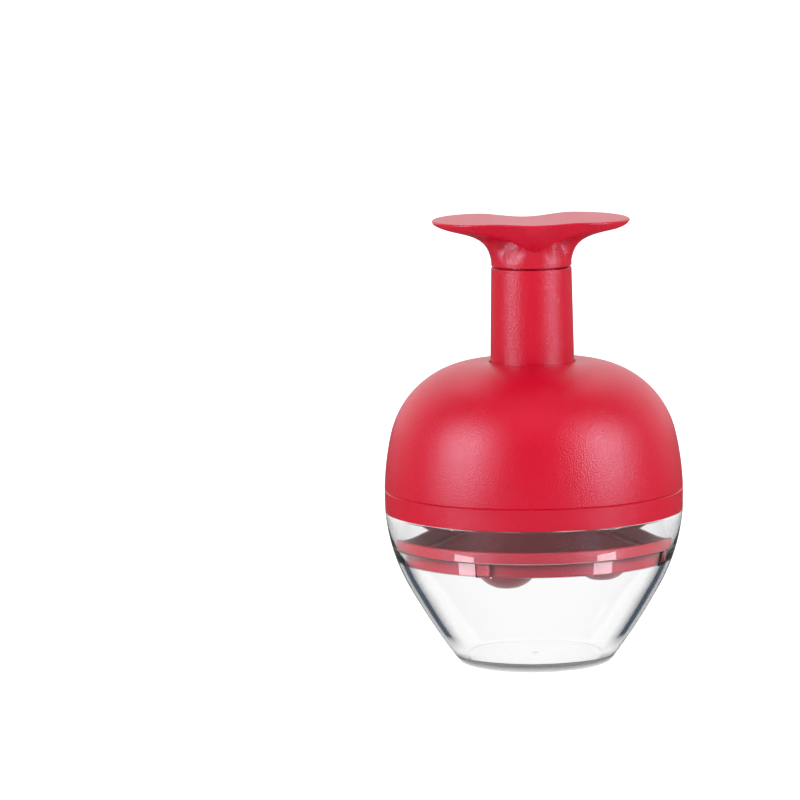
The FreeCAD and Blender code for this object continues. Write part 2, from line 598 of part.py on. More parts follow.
def make_flare():
    """The hollow curve from the neck out to the lobes, wider sideways than front to back."""
    last = math.pi / 2 * (FLARE_SECTIONS - 1) / FLARE_SECTIONS
    middle_z = LOBE_Z + FLARE_SINK - FLARE_R * math.sin(last)
    rings = []
    for step in range(FLARE_SECTIONS):
        turn = math.pi / 2 * step / FLARE_SECTIONS
        wide = TUBE_TOP_R + FLARE_R * (1 - math.cos(turn))
        height = middle_z + FLARE_R * math.sin(turn)
        ellipse = Part.Ellipse(V(0, 0, height), wide, wide * FLARE_SQUASH)
        rings.append(Part.Wire(ellipse.toShape()))
    return Part.makeLoft(rings, True, False)


def outline_rims(lobes):
    """The edges where the lobes' leaning side meets their top."""
    sides = [face for face in lobes.Faces if face.Surface.TypeId == "Part::GeomBSplineSurface"]
    found = []
    for edge in lobes.Edges:
        touching = [face for face in sides if any(edge.isSame(own) for own in face.Edges)]
        middle = edge.valueAt((edge.FirstParameter + edge.LastParameter) / 2)
        if len(touching) == 1 and middle.z > VALLEY_Z - TIP_DROP:
            found.append(edge)
    return found


def make_lobes():
    foot_z = KEEL_Z - FLARE_SINK
    head_z = CREST_Z + FLARE_SINK
    envelope = Part.makeLoft([handle_outline(HANDLE_DRAFT * (CREST_Z - foot_z), foot_z),
                              handle_outline(HANDLE_DRAFT * (CREST_Z - head_z), head_z)], True, True)
    section = handle_section()
    reach = LOBE_FRONT + LOBE_BACK
    section.translate(V(0, -reach, 0))
    lobes = section.extrude(V(0, 2 * reach, 0)).common(envelope)
    return lobes.makeFillet(HANDLE_TOP_FILLET, outline_rims(lobes))


def make_handle():
    neck_z = TUBE_TOP_Z + CAP_SEAM
    neck = cylinder(TUBE_TOP_R, neck_z, LOBE_Z + FLARE_SINK)
    handle = make_lobes().fuse([neck, make_flare()])
    spigot_r = TUBE_BORE_R - CAP_SPIGOT_CLEARANCE
    hollow_top = VALLEY_Z - CAP_HOLLOW_ROOF
    hollow = cylinder(spigot_r - CAP_SPIGOT_WALL, BRIDGE_TOP_Z, hollow_top)
    hollow = hollow.cut(cylinder(CAP_BOSS_R, BRIDGE_TOP_Z, hollow_top))
    handle = handle.fuse(cylinder(spigot_r, BRIDGE_TOP_Z, neck_z)).cut(hollow)
    screw_end = BRIDGE_TOP_Z + HANDLE_SCREW_GRIP + SCREW_CLEARANCE
    handle = handle.cut(cylinder(HANDLE_SCREW_R, BRIDGE_TOP_Z, screw_end))
    handle.rotate(ORIGIN, V(0, 0, 1), HANDLE_TURN)
    return handle


def make_handle_screw():
    screw = cross_headed_screw(HANDLE_SCREW_R, HANDLE_SCREW_HEAD_R, HANDLE_SCREW_HEAD_HEIGHT,
                               BRIDGE_THICKNESS + HANDLE_SCREW_GRIP, SCREW_CLEARANCE)
    screw.rotate(ORIGIN, V(1, 0, 0), 180)
    screw.translate(V(0, 0, BRIDGE_Z))
    return screw


NODES = {
    "pit_bowl": make_bowl(),
    "cherry_tray": make_tray(),
    "base_ring": make_base_ring(),
    "stripper_plate": make_stripper_plate(),
    "plate_screws": make_plate_screws(),
    "dome_shell": make_dome(),
    "return_spring": make_spring(),
    "spring_washer": make_washer(),
    "plunger_tube": make_tube(),
    "punch_clamp": make_clamp(),
    "clamp_screws": make_clamp_screws(),
    "handle_cap": make_handle(),
    "handle_screw": make_handle_screw(),
}
for number, angle in enumerate(CUP_ANGLES, 1):
    NODES[f"punch_{number}"] = make_punch(angle)
    NODES[f"punch_seal_{number}"] = make_seal(angle)

os.makedirs("parts", exist_ok=True)
for node, shape in NODES.items():
    shape.exportStep(f"parts/{node}.step")
    box = shape.BoundBox
    print(f"{node}: {len(shape.Solids)} solids, valid {shape.isValid()}, {shape.Volume:.1f} mm3, "
          f"z {box.ZMin:.2f} to {box.ZMax:.2f}, x {box.XMin:.2f} to {box.XMax:.2f}")
print(f"stroke {STROKE:.2f}, tray circle {CUP_CIRCLE_R:.2f}, height {CREST_Z:.2f}")
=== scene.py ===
# %% [markdown]
# A cherry pitter for four cherries. A clear bowl catches the pits, a red tray holds the cherries
# in cups, and a red domed head drives four steel punches down when its palm handle is pressed.
#
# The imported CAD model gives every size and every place. This script dresses it: it turns and
# sculpts the pieces that show, gives each one a finish built from shader nodes, and sets up the
# studio and the camera.

# %% Load the frame
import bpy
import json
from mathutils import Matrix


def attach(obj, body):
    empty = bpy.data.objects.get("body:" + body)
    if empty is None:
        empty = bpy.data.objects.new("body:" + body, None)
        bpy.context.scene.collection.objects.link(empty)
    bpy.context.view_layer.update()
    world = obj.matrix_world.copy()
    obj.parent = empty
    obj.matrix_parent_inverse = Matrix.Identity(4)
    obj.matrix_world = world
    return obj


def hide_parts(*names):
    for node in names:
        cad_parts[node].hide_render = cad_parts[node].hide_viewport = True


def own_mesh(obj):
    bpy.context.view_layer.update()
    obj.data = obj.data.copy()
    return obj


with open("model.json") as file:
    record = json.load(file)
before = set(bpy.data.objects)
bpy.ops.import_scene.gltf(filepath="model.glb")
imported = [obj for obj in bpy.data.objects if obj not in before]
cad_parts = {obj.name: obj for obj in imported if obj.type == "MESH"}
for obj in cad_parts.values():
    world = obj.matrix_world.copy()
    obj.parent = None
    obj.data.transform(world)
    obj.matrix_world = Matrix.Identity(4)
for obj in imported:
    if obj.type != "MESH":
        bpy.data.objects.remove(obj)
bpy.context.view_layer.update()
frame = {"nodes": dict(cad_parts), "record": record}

# %% Modules and units
import json
import math
import bmesh
import bpy
from mathutils import Euler, Matrix, Vector

MM = 0.001
FULL_TURN = math.tau
print("all sizes below are in millimetres, times MM")

# %% [markdown]
# Shader maths reads badly as a chain of node calls. A small class wraps a socket and overloads
# the arithmetic signs, so that a mask is written as an expression. Any other node comes from one
# method, which sets the node's own settings first and then its sockets. The alternative is to
# place each Math node by hand, which hides the formula.

# %% A socket that can be used in a formula
class Value:
    """An output socket that adds Math nodes when it is used in a formula."""

    def __init__(self, finish, socket):
        self.finish = finish
        self.socket = socket

    def math(self, operation, *operands):
        settings = {"operation": operation}
        return self.finish.node("Math", settings, dict(enumerate(operands)))

    def __add__(self, other):
        return self.math("ADD", self, other)

    def __sub__(self, other):
        return self.math("SUBTRACT", self, other)

    def __rsub__(self, other):
        return self.math("SUBTRACT", other, self)

    def __mul__(self, other):
        return self.math("MULTIPLY", self, other)

    def __gt__(self, other):
        return self.math("GREATER_THAN", self, other)

    def clamped(self):
        return self.math("MAXIMUM", self.math("MINIMUM", self, 1.0), 0.0)

    __radd__ = __add__
    __rmul__ = __mul__


# %% A finish is a material that is being built
class Finish:
    """A material's node tree, with one method that adds any node."""

    def __init__(self, name):
        self.material = bpy.data.materials.new(name)
        self.material.use_nodes = True
        self.tree = self.material.node_tree
        self.tree.nodes.clear()

    def node(self, kind, settings=None, inputs=None, output=0):
        node = self.tree.nodes.new("ShaderNode" + kind)
        for name, value in (settings or {}).items():
            if name == "stops":
                self.set_stops(node.color_ramp, value)
            else:
                setattr(node, name, value)
        for name, value in (inputs or {}).items():
            if isinstance(value, Value):
                self.tree.links.new(value.socket, node.inputs[name])
            else:
                node.inputs[name].default_value = value
        return Value(self, node.outputs[output]) if node.outputs else None

    def set_stops(self, ramp, stops):
        while len(ramp.elements) < len(stops):
            ramp.elements.new(0.5)
        for element, (position, colour) in zip(ramp.elements, stops):
            element.position = position
            element.color = colour

    def place(self):
        """Object coordinates, in metres, the same for every piece."""
        return self.node("TexCoord", output="Object")

    def noise(self, per_metre, detail=2.0, roughness=0.5, vector=None):
        inputs = {"Vector": vector or self.place(), "Scale": per_metre, "Detail": detail,
                  "Roughness": roughness}
        return self.node("TexNoise", {}, inputs)

    def mix(self, factor, first, second):
        """A colour between two colours."""
        return self.node("Mix", {"data_type": "RGBA"}, {0: factor, 6: first, 7: second}, output=2)

    def bump(self, height, depth, strength=1.0):
        return self.node("Bump", {}, {"Height": height, "Distance": depth, "Strength": strength})

    def dot(self, first, second):
        """The dot product of two vectors."""
        settings = {"operation": "DOT_PRODUCT"}
        return self.node("VectorMath", settings, {0: first, 1: second}, output="Value")

    def fade(self, distance, length):
        """0 where the distance is negative, rising to 1 over a length."""
        return (distance * (1 / length)).clamped()

    def seen_through(self):
        """1 for what the camera sees through the clear plastic, 0 for light on a dull surface."""
        before_diffuse = (1 - self.node("LightPath", output="Diffuse Depth")).clamped()
        return self.node("LightPath", output="Is Transmission Ray") * before_diffuse

    def surface(self, inputs):
        shader = self.node("BsdfPrincipled", {}, inputs)
        self.node("OutputMaterial", {}, {"Surface": shader})
        return self.material


print("shader helpers ready")

# %% [markdown]
# Every piece of the head, the tray and the handle is moulded in one red plastic. The mould is
# spark-eroded, so the surface has a fine even grain that breaks a highlight into a soft sheen,
# with slightly shinier places where fingers have polished the grain. Paint-like noise in the
# colour would look dirty, so the colour hardly varies and the grain goes into the bump and the
# roughness. The gloss has a cool tint, which turns the highlights pink.

# %% Red moulded plastic
RED = (0.575, 0.0020, 0.0210, 1.0)
DEEP_RED = (0.50, 0.0014, 0.0165, 1.0)
COOL_GLOSS = (0.70, 0.82, 1.0, 1.0)
GRAIN_PER_METRE = 2600.0
PITS_PER_METRE = 0.8 * GRAIN_PER_METRE
GRAIN_DEPTH = 0.00017
POLISH_PER_METRE = 45.0
FLOW_PER_METRE = 28.0


def make_red_plastic():
    finish = Finish("red_moulded_plastic")
    grain = finish.noise(GRAIN_PER_METRE, detail=2.0, roughness=0.6)
    pits = finish.node("TexVoronoi", {"feature": "SMOOTH_F1"},
                       {"Vector": finish.place(), "Scale": PITS_PER_METRE, "Smoothness": 0.6})
    polish = finish.noise(POLISH_PER_METRE, detail=4.0)
    flow = finish.noise(FLOW_PER_METRE, detail=1.0)
    colour = finish.mix(0.25 + 0.5 * flow, RED, DEEP_RED)
    height = 0.6 * grain + 0.4 * pits
    roughness = 0.24 + 0.12 * grain + 0.04 * (1 - polish)
    return finish.surface({
        "Base Color": colour, "Roughness": roughness, "IOR": 1.5, "Specular IOR Level": 0.65,
        "Specular Tint": COOL_GLOSS, "Normal": finish.bump(height, GRAIN_DEPTH)})


RED_PLASTIC = make_red_plastic()
print("finish:", RED_PLASTIC.name)

# %% [markdown]
# The bowl is polished clear plastic. Real clear mouldings are never quite flat: they carry faint
# flow waves, and the foot is finely scratched by the worktop. A thin layer of that goes into the
# roughness and the bump.
#
# A clear wall on white has a dark line a little inside its outline, where the slanting wall
# mirrors the dark side of the studio. This studio has no dark side, so that dark reflection is
# painted into the plastic's colour: Layer Weight gives the slant of the outer wall, a ramp picks a
# narrow range of it, and the painted line fades out above the foot and below the ledge.
#
# Most of each shadow ray passes straight through, because a clear bowl casts only a faint shadow
# in soft light, and tracing it through two refracting walls would leave a noisy dark patch. The
# foot is mostly open air as well, or its thick rounded rim would show as a heavy dark ring.

# %% Clear bowl plastic
CLEAR_TINT = (0.997, 0.998, 1.0, 1.0)
# The colour of the painted dark reflection line beside the bowl's outline.
PAINTED_REFLECTION_TINT = (0.004, 0.008, 0.018, 1.0)
WHITE = (1.0, 1.0, 1.0, 1.0)
BLACK = (0.0, 0.0, 0.0, 1.0)
# The slants of the outer wall that get the painted dark reflection line.
PAINTED_REFLECTION_SLANTS = [(0.54, BLACK), (0.68, WHITE), (0.76, WHITE), (0.86, BLACK)]
SCUFFS_PER_METRE = 900.0
SCRATCH_HEIGHT = 0.003
LEDGE_HEIGHT = 0.040
LEDGE_FADE = 0.004
BAND_END = 0.006
BAND_FADE = 0.005
WAVE_DEPTH = 0.00030
WAVE_STRENGTH = 0.25
SHADOW_PASSED = 0.75
FOOT_PASSED = 0.85


def painted_reflection_band(finish, height):
    """1 where the dark reflection beside the bowl's outline is painted. It is only on the outer
    wall's near side.
    """
    slant = finish.node("LayerWeight", {}, {"Blend": 0.5}, output="Facing")
    # The ramp picks the slants where the dark reflection line is painted.
    edge = finish.node("ValToRGB", {"stops": PAINTED_REFLECTION_SLANTS}, {"Fac": slant})
    from_axis = finish.node("VectorMath", {"operation": "MULTIPLY"},
                            {0: finish.place(), 1: (1.0, 1.0, 0.0)})
    outwards = finish.dot(finish.node("NewGeometry", output="Normal"), from_axis)
    front_face = 1 - finish.node("NewGeometry", output="Backfacing")
    outer_wall = front_face * (outwards > 0.0)
    below_ledge = finish.fade(LEDGE_HEIGHT - height, LEDGE_FADE)
    above_foot = finish.fade(height - BAND_END, BAND_FADE)
    return edge * outer_wall * below_ledge * above_foot


def make_clear_plastic():
    finish = Finish("clear_bowl_plastic")
    waves = finish.noise(FLOW_PER_METRE, detail=1.0)
    scuffs = finish.noise(SCUFFS_PER_METRE, detail=5.0, roughness=0.7)
    height = finish.node("SeparateXYZ", {}, {"Vector": finish.place()}, output="Z")
    near_foot = finish.fade(SCRATCH_HEIGHT - height, SCRATCH_HEIGHT)
    shader = finish.node("BsdfPrincipled", {}, {
        # The base colour carries the painted dark reflection line beside the outline.
        "Base Color": finish.mix(painted_reflection_band(finish, height), CLEAR_TINT, PAINTED_REFLECTION_TINT),
        "Roughness": 0.004 + 0.012 * scuffs + 0.06 * near_foot * scuffs,
        "IOR": 1.49, "Transmission Weight": 1.0,
        "Normal": finish.bump(waves, WAVE_DEPTH, WAVE_STRENGTH)})
    open_air = finish.node("BsdfTransparent")
    shadow_ray = finish.node("LightPath", output="Is Shadow Ray")
    passed = (SHADOW_PASSED * shadow_ray + FOOT_PASSED * near_foot).clamped()
    mixed = finish.node("MixShader", {}, {0: passed, 1: shader, 2: open_air})
    finish.node("OutputMaterial", {}, {"Surface": mixed})
    return finish.material


CLEAR_PLASTIC = make_clear_plastic()
print("finish:", CLEAR_PLASTIC.name)

# %% [markdown]
# The punches, screws and washer are turned stainless steel. Turning leaves fine rings round each
# piece, so the grain is a noise that is squeezed hard along Z. The spring is drawn wire, which is
# a little darker, with coarser lines.

# %% Steel finishes
STEEL = (0.62, 0.62, 0.63, 1.0)
STEEL_SHADE = (0.50, 0.50, 0.52, 1.0)
WIRE = (0.42, 0.42, 0.44, 1.0)
WIRE_SHADE = (0.30, 0.30, 0.32, 1.0)
ALONG_RINGS = 60.0
TURNED_RINGS = 5200.0
DRAWN_RINGS = 900.0
STAINS_PER_METRE = 120.0
RING_DEPTH = 0.00002


def make_steel(name, light, shade, rings):
    finish = Finish(name)
    squeezed = finish.node("Mapping", {}, {
        "Vector": finish.place(), "Scale": (ALONG_RINGS, ALONG_RINGS, rings)})
    lines = finish.noise(1.0, detail=3.0, vector=squeezed)
    stain = finish.noise(STAINS_PER_METRE, detail=4.0)
    colour = finish.mix(0.4 * lines + 0.5 * stain, light, shade)
    return finish.surface({"Base Color": colour, "Metallic": 1.0,
                           "Roughness": 0.20 + 0.16 * lines + 0.06 * stain,
                           "Normal": finish.bump(lines, RING_DEPTH, 0.5)})


TURNED_STEEL = make_steel("turned_steel", STEEL, STEEL_SHADE, TURNED_RINGS)
SPRING_WIRE = make_steel("spring_wire", WIRE, WIRE_SHADE, DRAWN_RINGS)
print("finishes:", TURNED_STEEL.name, SPRING_WIRE.name)

# %% [markdown]
# The bushes round the punches are soft, darker and duller than the moulded red, with the faint
# bloom that rubber gets. A sheen would overdo it, so the bloom is a patchy change of colour and
# roughness.

# %% Seal rubber
RUBBER = (0.13, 0.010, 0.018, 1.0)
RUBBER_BLOOM = (0.20, 0.022, 0.034, 1.0)
BLOOM_PER_METRE = 700.0
RUBBER_GRAIN_PER_METRE = 4200.0
RUBBER_GRAIN_DEPTH = 0.00004


def make_rubber():
    finish = Finish("seal_rubber")
    bloom = finish.noise(BLOOM_PER_METRE, detail=5.0, roughness=0.65)
    grain = finish.noise(RUBBER_GRAIN_PER_METRE, detail=2.0)
    return finish.surface({"Base Color": finish.mix(bloom, RUBBER, RUBBER_BLOOM),
                           "Roughness": 0.55 + 0.15 * bloom,
                           "Normal": finish.bump(grain, RUBBER_GRAIN_DEPTH, 0.4)})


SEAL_RUBBER = make_rubber()
FINISHES = {"red_plastic": RED_PLASTIC, "clear_plastic": CLEAR_PLASTIC, "steel": TURNED_STEEL,
            "spring_steel": SPRING_WIRE, "seal_rubber": SEAL_RUBBER}
print("finish:", SEAL_RUBBER.name)

# %% Give every CAD node its finish
for subpart in frame["record"]["subparts"]:
    mesh = frame["nodes"][subpart["node"]].data
    mesh.materials.clear()
    mesh.materials.append(FINISHES[subpart["material_slot"]])
print("finished CAD nodes:", len(frame["nodes"]))

# %% [markdown]
# Most of this object is turned: bowl, ring, dome, tube, punches and bushes are solids of
# revolution. Each one starts as an outline in the XZ plane. A vertex bevel rounds its corners, as
# a moulder breaks every sharp edge, and a spin turns it round Z. The alternative, a cylinder with
# edge loops pushed about, never gets the wall thickness and the small steps right. The outline
# stays open where it lies on the axis, so that no face has an edge without length.

# %% Outlines and turning
SPIN_STEPS = 144
SMALL_SPIN_STEPS = 40
ROUNDING_SEGMENTS = 4
MERGE_DISTANCE = 1e-7
SHARP_ANGLE = math.radians(32)


def arc(centre, radius, start, end, steps):
    """Outline points on an arc, with its angles in degrees from the outward direction."""
    angles = [math.radians(start + (end - start) * step / steps) for step in range(steps + 1)]
    return [(centre[0] + radius * math.cos(a), centre[1] + radius * math.sin(a)) for a in angles]


def outline(corners):
    """A closed outline from (radius, height) corners. A third number cuts that corner round."""
    bm = bmesh.new()
    verts = [bm.verts.new((corner[0] * MM, 0, corner[1] * MM)) for corner in corners]
    for first in range(len(verts)):
        if corners[first - 1][0] or corners[first][0]:
            bm.edges.new((verts[first - 1], verts[first]))
    for cut in sorted({corner[2] for corner in corners if len(corner) > 2}):
        chosen = [vert for vert, corner in zip(verts, corners) if corner[2:] == (cut,)]
        bmesh.ops.bevel(bm, geom=chosen, offset=cut * MM, offset_type="OFFSET", affect="VERTICES",
                        segments=ROUNDING_SEGMENTS, profile=0.5, material=-1)
    return bm


def turned(corners, steps=SPIN_STEPS):
    """The outline turned round the Z axis into a closed solid."""
    bm = outline(corners)
    bmesh.ops.spin(bm, geom=bm.verts[:] + bm.edges[:], cent=(0, 0, 0), axis=(0, 0, 1),
                   angle=FULL_TURN, steps=steps, use_merge=True)
    bmesh.ops.remove_doubles(bm, verts=bm.verts, dist=MERGE_DISTANCE)
    bmesh.ops.recalc_face_normals(bm, faces=bm.faces)
    return bm


def polar(radius, angle, height=0.0):
    """The point at a distance from the axis, an angle from the front towards +X, and a height."""
    turn = math.radians(angle)
    return Vector((radius * math.sin(turn), -radius * math.cos(turn), height))


ORIGIN = Vector((0, 0, 0))
print("outline of", len(outline([(0, 0), (10, 0, 1), (10, 5, 1), (0, 5)]).verts), "points ready")

# %% [markdown]
# A finished piece gets smooth shading with its real edges kept sharp, and weighted normals so
# that a flat face beside a small rounding stays flat. Holes, slots and keys are cut with an exact
# Boolean, which is applied at once, so the piece carries only its last modifier. Shapes that
# overlap are never cut in one step: the solver takes its tool as one clean solid, and an overlap
# would leave a skin across the hole. They are cut one after the other.

# %% Cutting and finishing a piece
CUP_TURN = -22.0
CUP_ANGLES = [CUP_TURN + 90.0 * step for step in range(4)]
BETWEEN_ANGLES = [angle + 45.0 for angle in CUP_ANGLES]
KEY_ANGLES = [CUP_TURN + 45.0, CUP_TURN + 225.0]
CUP_CIRCLE = 24.0


def mesh_from(bm, name="work"):
    mesh = bpy.data.meshes.new(name)
    bm.to_mesh(mesh)
    bm.free()
    return mesh


def boolean(bm, tool, operation="DIFFERENCE"):
    """bm with the tool cut away, joined on with UNION, or only what both hold with INTERSECT."""
    objects = []
    for part in (bm, tool):
        objects.append(bpy.data.objects.new("work", mesh_from(part)))
        bpy.context.scene.collection.objects.link(objects[-1])
    modifier = objects[0].modifiers.new("cut", "BOOLEAN")
    modifier.operation = operation
    modifier.solver = "EXACT"
    modifier.object = objects[1]
    done = objects[0].evaluated_get(bpy.context.evaluated_depsgraph_get())
    result = bmesh.new()
    result.from_mesh(done.to_mesh())
    for obj in objects:
        bpy.data.objects.remove(obj)
    bmesh.ops.remove_doubles(result, verts=result.verts, dist=MERGE_DISTANCE)
    return result


def turn_about_axis(bm, verts, angle):
    """Turn some vertices round Z, by an angle in degrees."""
    turn = Matrix.Rotation(math.radians(angle), 3, "Z")
    bmesh.ops.rotate(bm, verts=verts, cent=(0, 0, 0), matrix=turn)


def add_block(bm, inner, outer, width, bottom, top, angle):
    """A straight block across the given radii, turned to an angle from the front."""
    made = bmesh.ops.create_cube(bm, size=1.0)["verts"]
    size = Vector((width, outer - inner, top - bottom)) * MM
    middle = Vector((0, -(inner + outer) / 2, (bottom + top) / 2)) * MM
    bmesh.ops.scale(bm, verts=made, vec=size)
    bmesh.ops.translate(bm, verts=made, vec=middle)
    turn_about_axis(bm, made, angle)


def add_bar(bm, radius, bottom, top, place, segments=SMALL_SPIN_STEPS):
    """An upright round bar at a place, to cut a hole with."""
    middle = Vector((place.x, place.y, (bottom + top) / 2)) * MM
    bmesh.ops.create_cone(bm, cap_ends=True, segments=segments, radius1=radius * MM,
                          radius2=radius * MM, depth=(top - bottom) * MM,
                          matrix=Matrix.Translation(middle))


def add_ball(bm, radius, place):
    bmesh.ops.create_uvsphere(bm, u_segments=72, v_segments=48, radius=radius * MM,
                              matrix=Matrix.Translation(place * MM))


def add_piece(name, bm, body, slot, *nodes):
    """Put a finished mesh in the scene: it rides on a body and stands for CAD nodes."""
    mesh = mesh_from(bm, name)
    mesh.shade_smooth()
    mesh.set_sharp_from_angle(angle=SHARP_ANGLE)
    mesh.materials.append(FINISHES[slot])
    piece = bpy.data.objects.new(name, mesh)
    bpy.context.scene.collection.objects.link(piece)
    weighted = piece.modifiers.new("flat faces stay flat", "WEIGHTED_NORMAL")
    weighted.keep_sharp = True
    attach(piece, body)
    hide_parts(*nodes)
    print(name, "has", len(mesh.polygons), "faces")
    return piece


# %% [markdown]
# The clear bowl is the hardest piece to get right, because its inside shows as well as its
# outside. Its outer wall is two arcs that meet smoothly, and its inner wall is the same arcs set
# in by the wall. On the inside a ledge carries the tray, and an upright band below it has four
# slots for the tray's tabs. The rim steps in to a lip with two notches that turn the head the
# right way round. A small pip marks where the plastic was injected.

# %% Clear bowl
UPPER_CENTRE = (-13.580, 57.0)
LOWER_CENTRE = (-145.170, 130.164)
UPPER_RADIUS = 64.0
LOWER_RADIUS = 214.562
BOWL_WALL = 3.5
ARC_JOIN = -29.074
SLOT_WIDTH = 5.0
NOTCH_WIDTH = 5.5
PIP_RADIUS = 1.6


def make_bowl():
    corners = [(0, 0), (25.4, 0, 0.8)]
    corners += arc(LOWER_CENTRE, LOWER_RADIUS, -37.348, ARC_JOIN, 20)[1:-1]
    corners += arc(UPPER_CENTRE, UPPER_RADIUS, ARC_JOIN, -4.750, 20)[:-1]
    corners += [(50.2, 51.7, 0.45), (48.2, 51.7, 0.25), (48.2, 55.7, 0.5), (46.5, 55.7, 0.5),
                (46.5, 40.4, 0.3), (43.3, 40.4, 0.25), (43.3, 35.8, 0.3)]
    corners += arc(UPPER_CENTRE, UPPER_RADIUS - BOWL_WALL, -20.513, ARC_JOIN, 8)
    corners += arc(LOWER_CENTRE, LOWER_RADIUS - BOWL_WALL, ARC_JOIN, -37.049, 20)[1:-1]
    corners += [(23.2715, 3.0, 2.0), (0, 3.0)]
    cuts = bmesh.new()
    for angle in CUP_ANGLES:
        add_block(cuts, 41.0, 44.8, SLOT_WIDTH, 35.5, 40.9, angle)
    for angle in KEY_ANGLES:
        add_block(cuts, 45.0, 49.5, NOTCH_WIDTH, 51.7, 56.5, angle)
    bowl = boolean(turned(corners), cuts)
    pip = bmesh.new()
    add_ball(pip, PIP_RADIUS, Vector((0, 0, 2.0)))
    return add_piece("clear_bowl", boolean(bowl, pip, "UNION"), "bowl", "clear_plastic", "pit_bowl")


make_bowl()

# %% [markdown]
# The tray drops into the bowl. Its flange stands on the ledge, its drum goes down inside the
# band, and the deck has four round cups for the cherries. Each cup has a hole for the pit, and
# large drains between the cups let the juice through. The cups are balls joined to the deck and
# hollowed by smaller balls, which keeps their wall even.

# %% Cherry tray
CUP_OUTSIDE = 12.1
CUP_INSIDE = 10.3
CUP_MIDDLE = 40.8
DECK_UNDER = 35.8
DECK_TOP = 37.6
TAB_WIDTH = 4.4
PIT_HOLE = 4.25
DRAIN = 6.5
DRAIN_CIRCLE = 32.7


def make_tray():
    tray = turned([(0, DECK_UNDER), (42.8, DECK_UNDER, 0.6), (42.8, 40.4), (46.0, 40.4, 0.2),
                   (46.0, 44.4, 0.6), (44.2, 44.4, 0.5), (44.2, 42.2, 0.5), (41.0, 42.2, 0.5),
                   (41.0, DECK_TOP, 1.2), (0, DECK_TOP)])
    balls = bmesh.new()
    for angle in CUP_ANGLES:
        add_ball(balls, CUP_OUTSIDE, polar(CUP_CIRCLE, angle, CUP_MIDDLE))
    # Of each ball, only the part under the middle of the deck is wanted.
    below = bmesh.new()
    deck_middle = (DECK_UNDER + DECK_TOP) / 2
    add_bar(below, 41.5, CUP_MIDDLE - CUP_OUTSIDE - 1, deck_middle, ORIGIN, SPIN_STEPS)
    cups = boolean(balls, below, "INTERSECT")
    for angle in CUP_ANGLES:
        add_block(cups, 41.8, 44.5, TAB_WIDTH, 36.3, 41.3, angle)
    tray = boolean(tray, cups, "UNION")
    hollows = bmesh.new()
    holes = bmesh.new()
    for angle in CUP_ANGLES:
        add_ball(hollows, CUP_INSIDE, polar(CUP_CIRCLE, angle, CUP_MIDDLE))
        add_bar(holes, PIT_HOLE, 28.0, 36.0, polar(CUP_CIRCLE, angle))
    for angle in BETWEEN_ANGLES:
        add_bar(holes, DRAIN, 34.0, 39.0, polar(DRAIN_CIRCLE, angle))
    tray = boolean(boolean(tray, hollows), holes)
    return add_piece("cherry_cup_tray", tray, "tray", "red_plastic", "cherry_tray")


make_tray()

# %% [markdown]
# The head is a ring, a plate and a dome. The ring sits on the bowl's shoulder and reaches over
# its lip, with two keys that drop into the lip's notches. A thin spigot with a snap bead goes up
# into the dome. A small bevel on both sides of the seam makes the fine dark line that shows
# between ring and dome.

# %% Base ring
KEY_WIDTH = 5.0
SCREW_CIRCLE = 44.2
PLATE_SCREW_HOLE = 0.95
SCREW_STEPS = 24


def make_ring():
    corners = [(50.2, 51.7, 0.25), (50.3, 58.65), (49.95, 59.0), (47.65, 59.0), (47.65, 62.0),
               (48.05, 62.4), (48.05, 63.1), (47.65, 63.5), (47.65, 65.0, 0.3), (46.15, 65.0, 0.3),
               (46.15, 59.5), (42.5, 59.5, 0.4), (42.5, 56.0, 0.4), (48.5, 56.0), (48.5, 51.7, 0.3)]
    ring = turned(corners)
    keys = bmesh.new()
    for angle in KEY_ANGLES:
        add_block(keys, 46.8, 48.8, KEY_WIDTH, 52.0, 57.5, angle)
    ring = boolean(ring, keys, "UNION")
    holes = bmesh.new()
    for angle in BETWEEN_ANGLES:
        add_bar(holes, PLATE_SCREW_HOLE, 56.65, 60.0, polar(SCREW_CIRCLE, angle), SCREW_STEPS)
    return add_piece("head_ring", boolean(ring, holes), "head", "red_plastic", "base_ring")


make_ring()

# %% Dome
FLANK_CENTRE = (-43.569, 56.6)
SHOULDER_CENTRE = (17.445, 70.6)
FLANK_RADIUS = 93.9
SHOULDER_RADIUS = 31.3
DOME_WALL = 2.5
DOME_JOIN = 12.923


def make_dome():
    corners = [(49.95, 59.0), (50.29, 59.35)]
    corners += arc(FLANK_CENTRE, FLANK_RADIUS, 1.9, DOME_JOIN, 14)[:-1]
    corners += arc(SHOULDER_CENTRE, SHOULDER_RADIUS, DOME_JOIN, 90, 30)
    corners += [(14.4, 101.9, 0.5), (14.4, 96.8, 0.4), (16.6, 96.8, 0.4), (16.6, 99.4, 0.6)]
    corners += arc(SHOULDER_CENTRE, SHOULDER_RADIUS - DOME_WALL, 90, DOME_JOIN, 30)
    corners += arc(FLANK_CENTRE, FLANK_RADIUS - DOME_WALL, DOME_JOIN, 5.368, 8)[1:]
    corners += [(47.8, 65.15), (47.8, 63.6), (48.15, 63.25), (48.15, 62.25), (47.8, 61.9),
                (47.8, 59.0)]
    return add_piece("head_dome", turned(corners), "head", "red_plastic", "dome_shell")


make_dome()

# %% [markdown]
# The plunger's tube widens into a flange at its foot, which carries the punches by their heads. A
# web across the tube near the top takes the spring's thrust and the handle's screw.

# %% Plunger tube
PUNCH_HOLE = 2.55
HEAD_SEAT = 3.35
CLAMP_SCREW_HOLE = 1.1


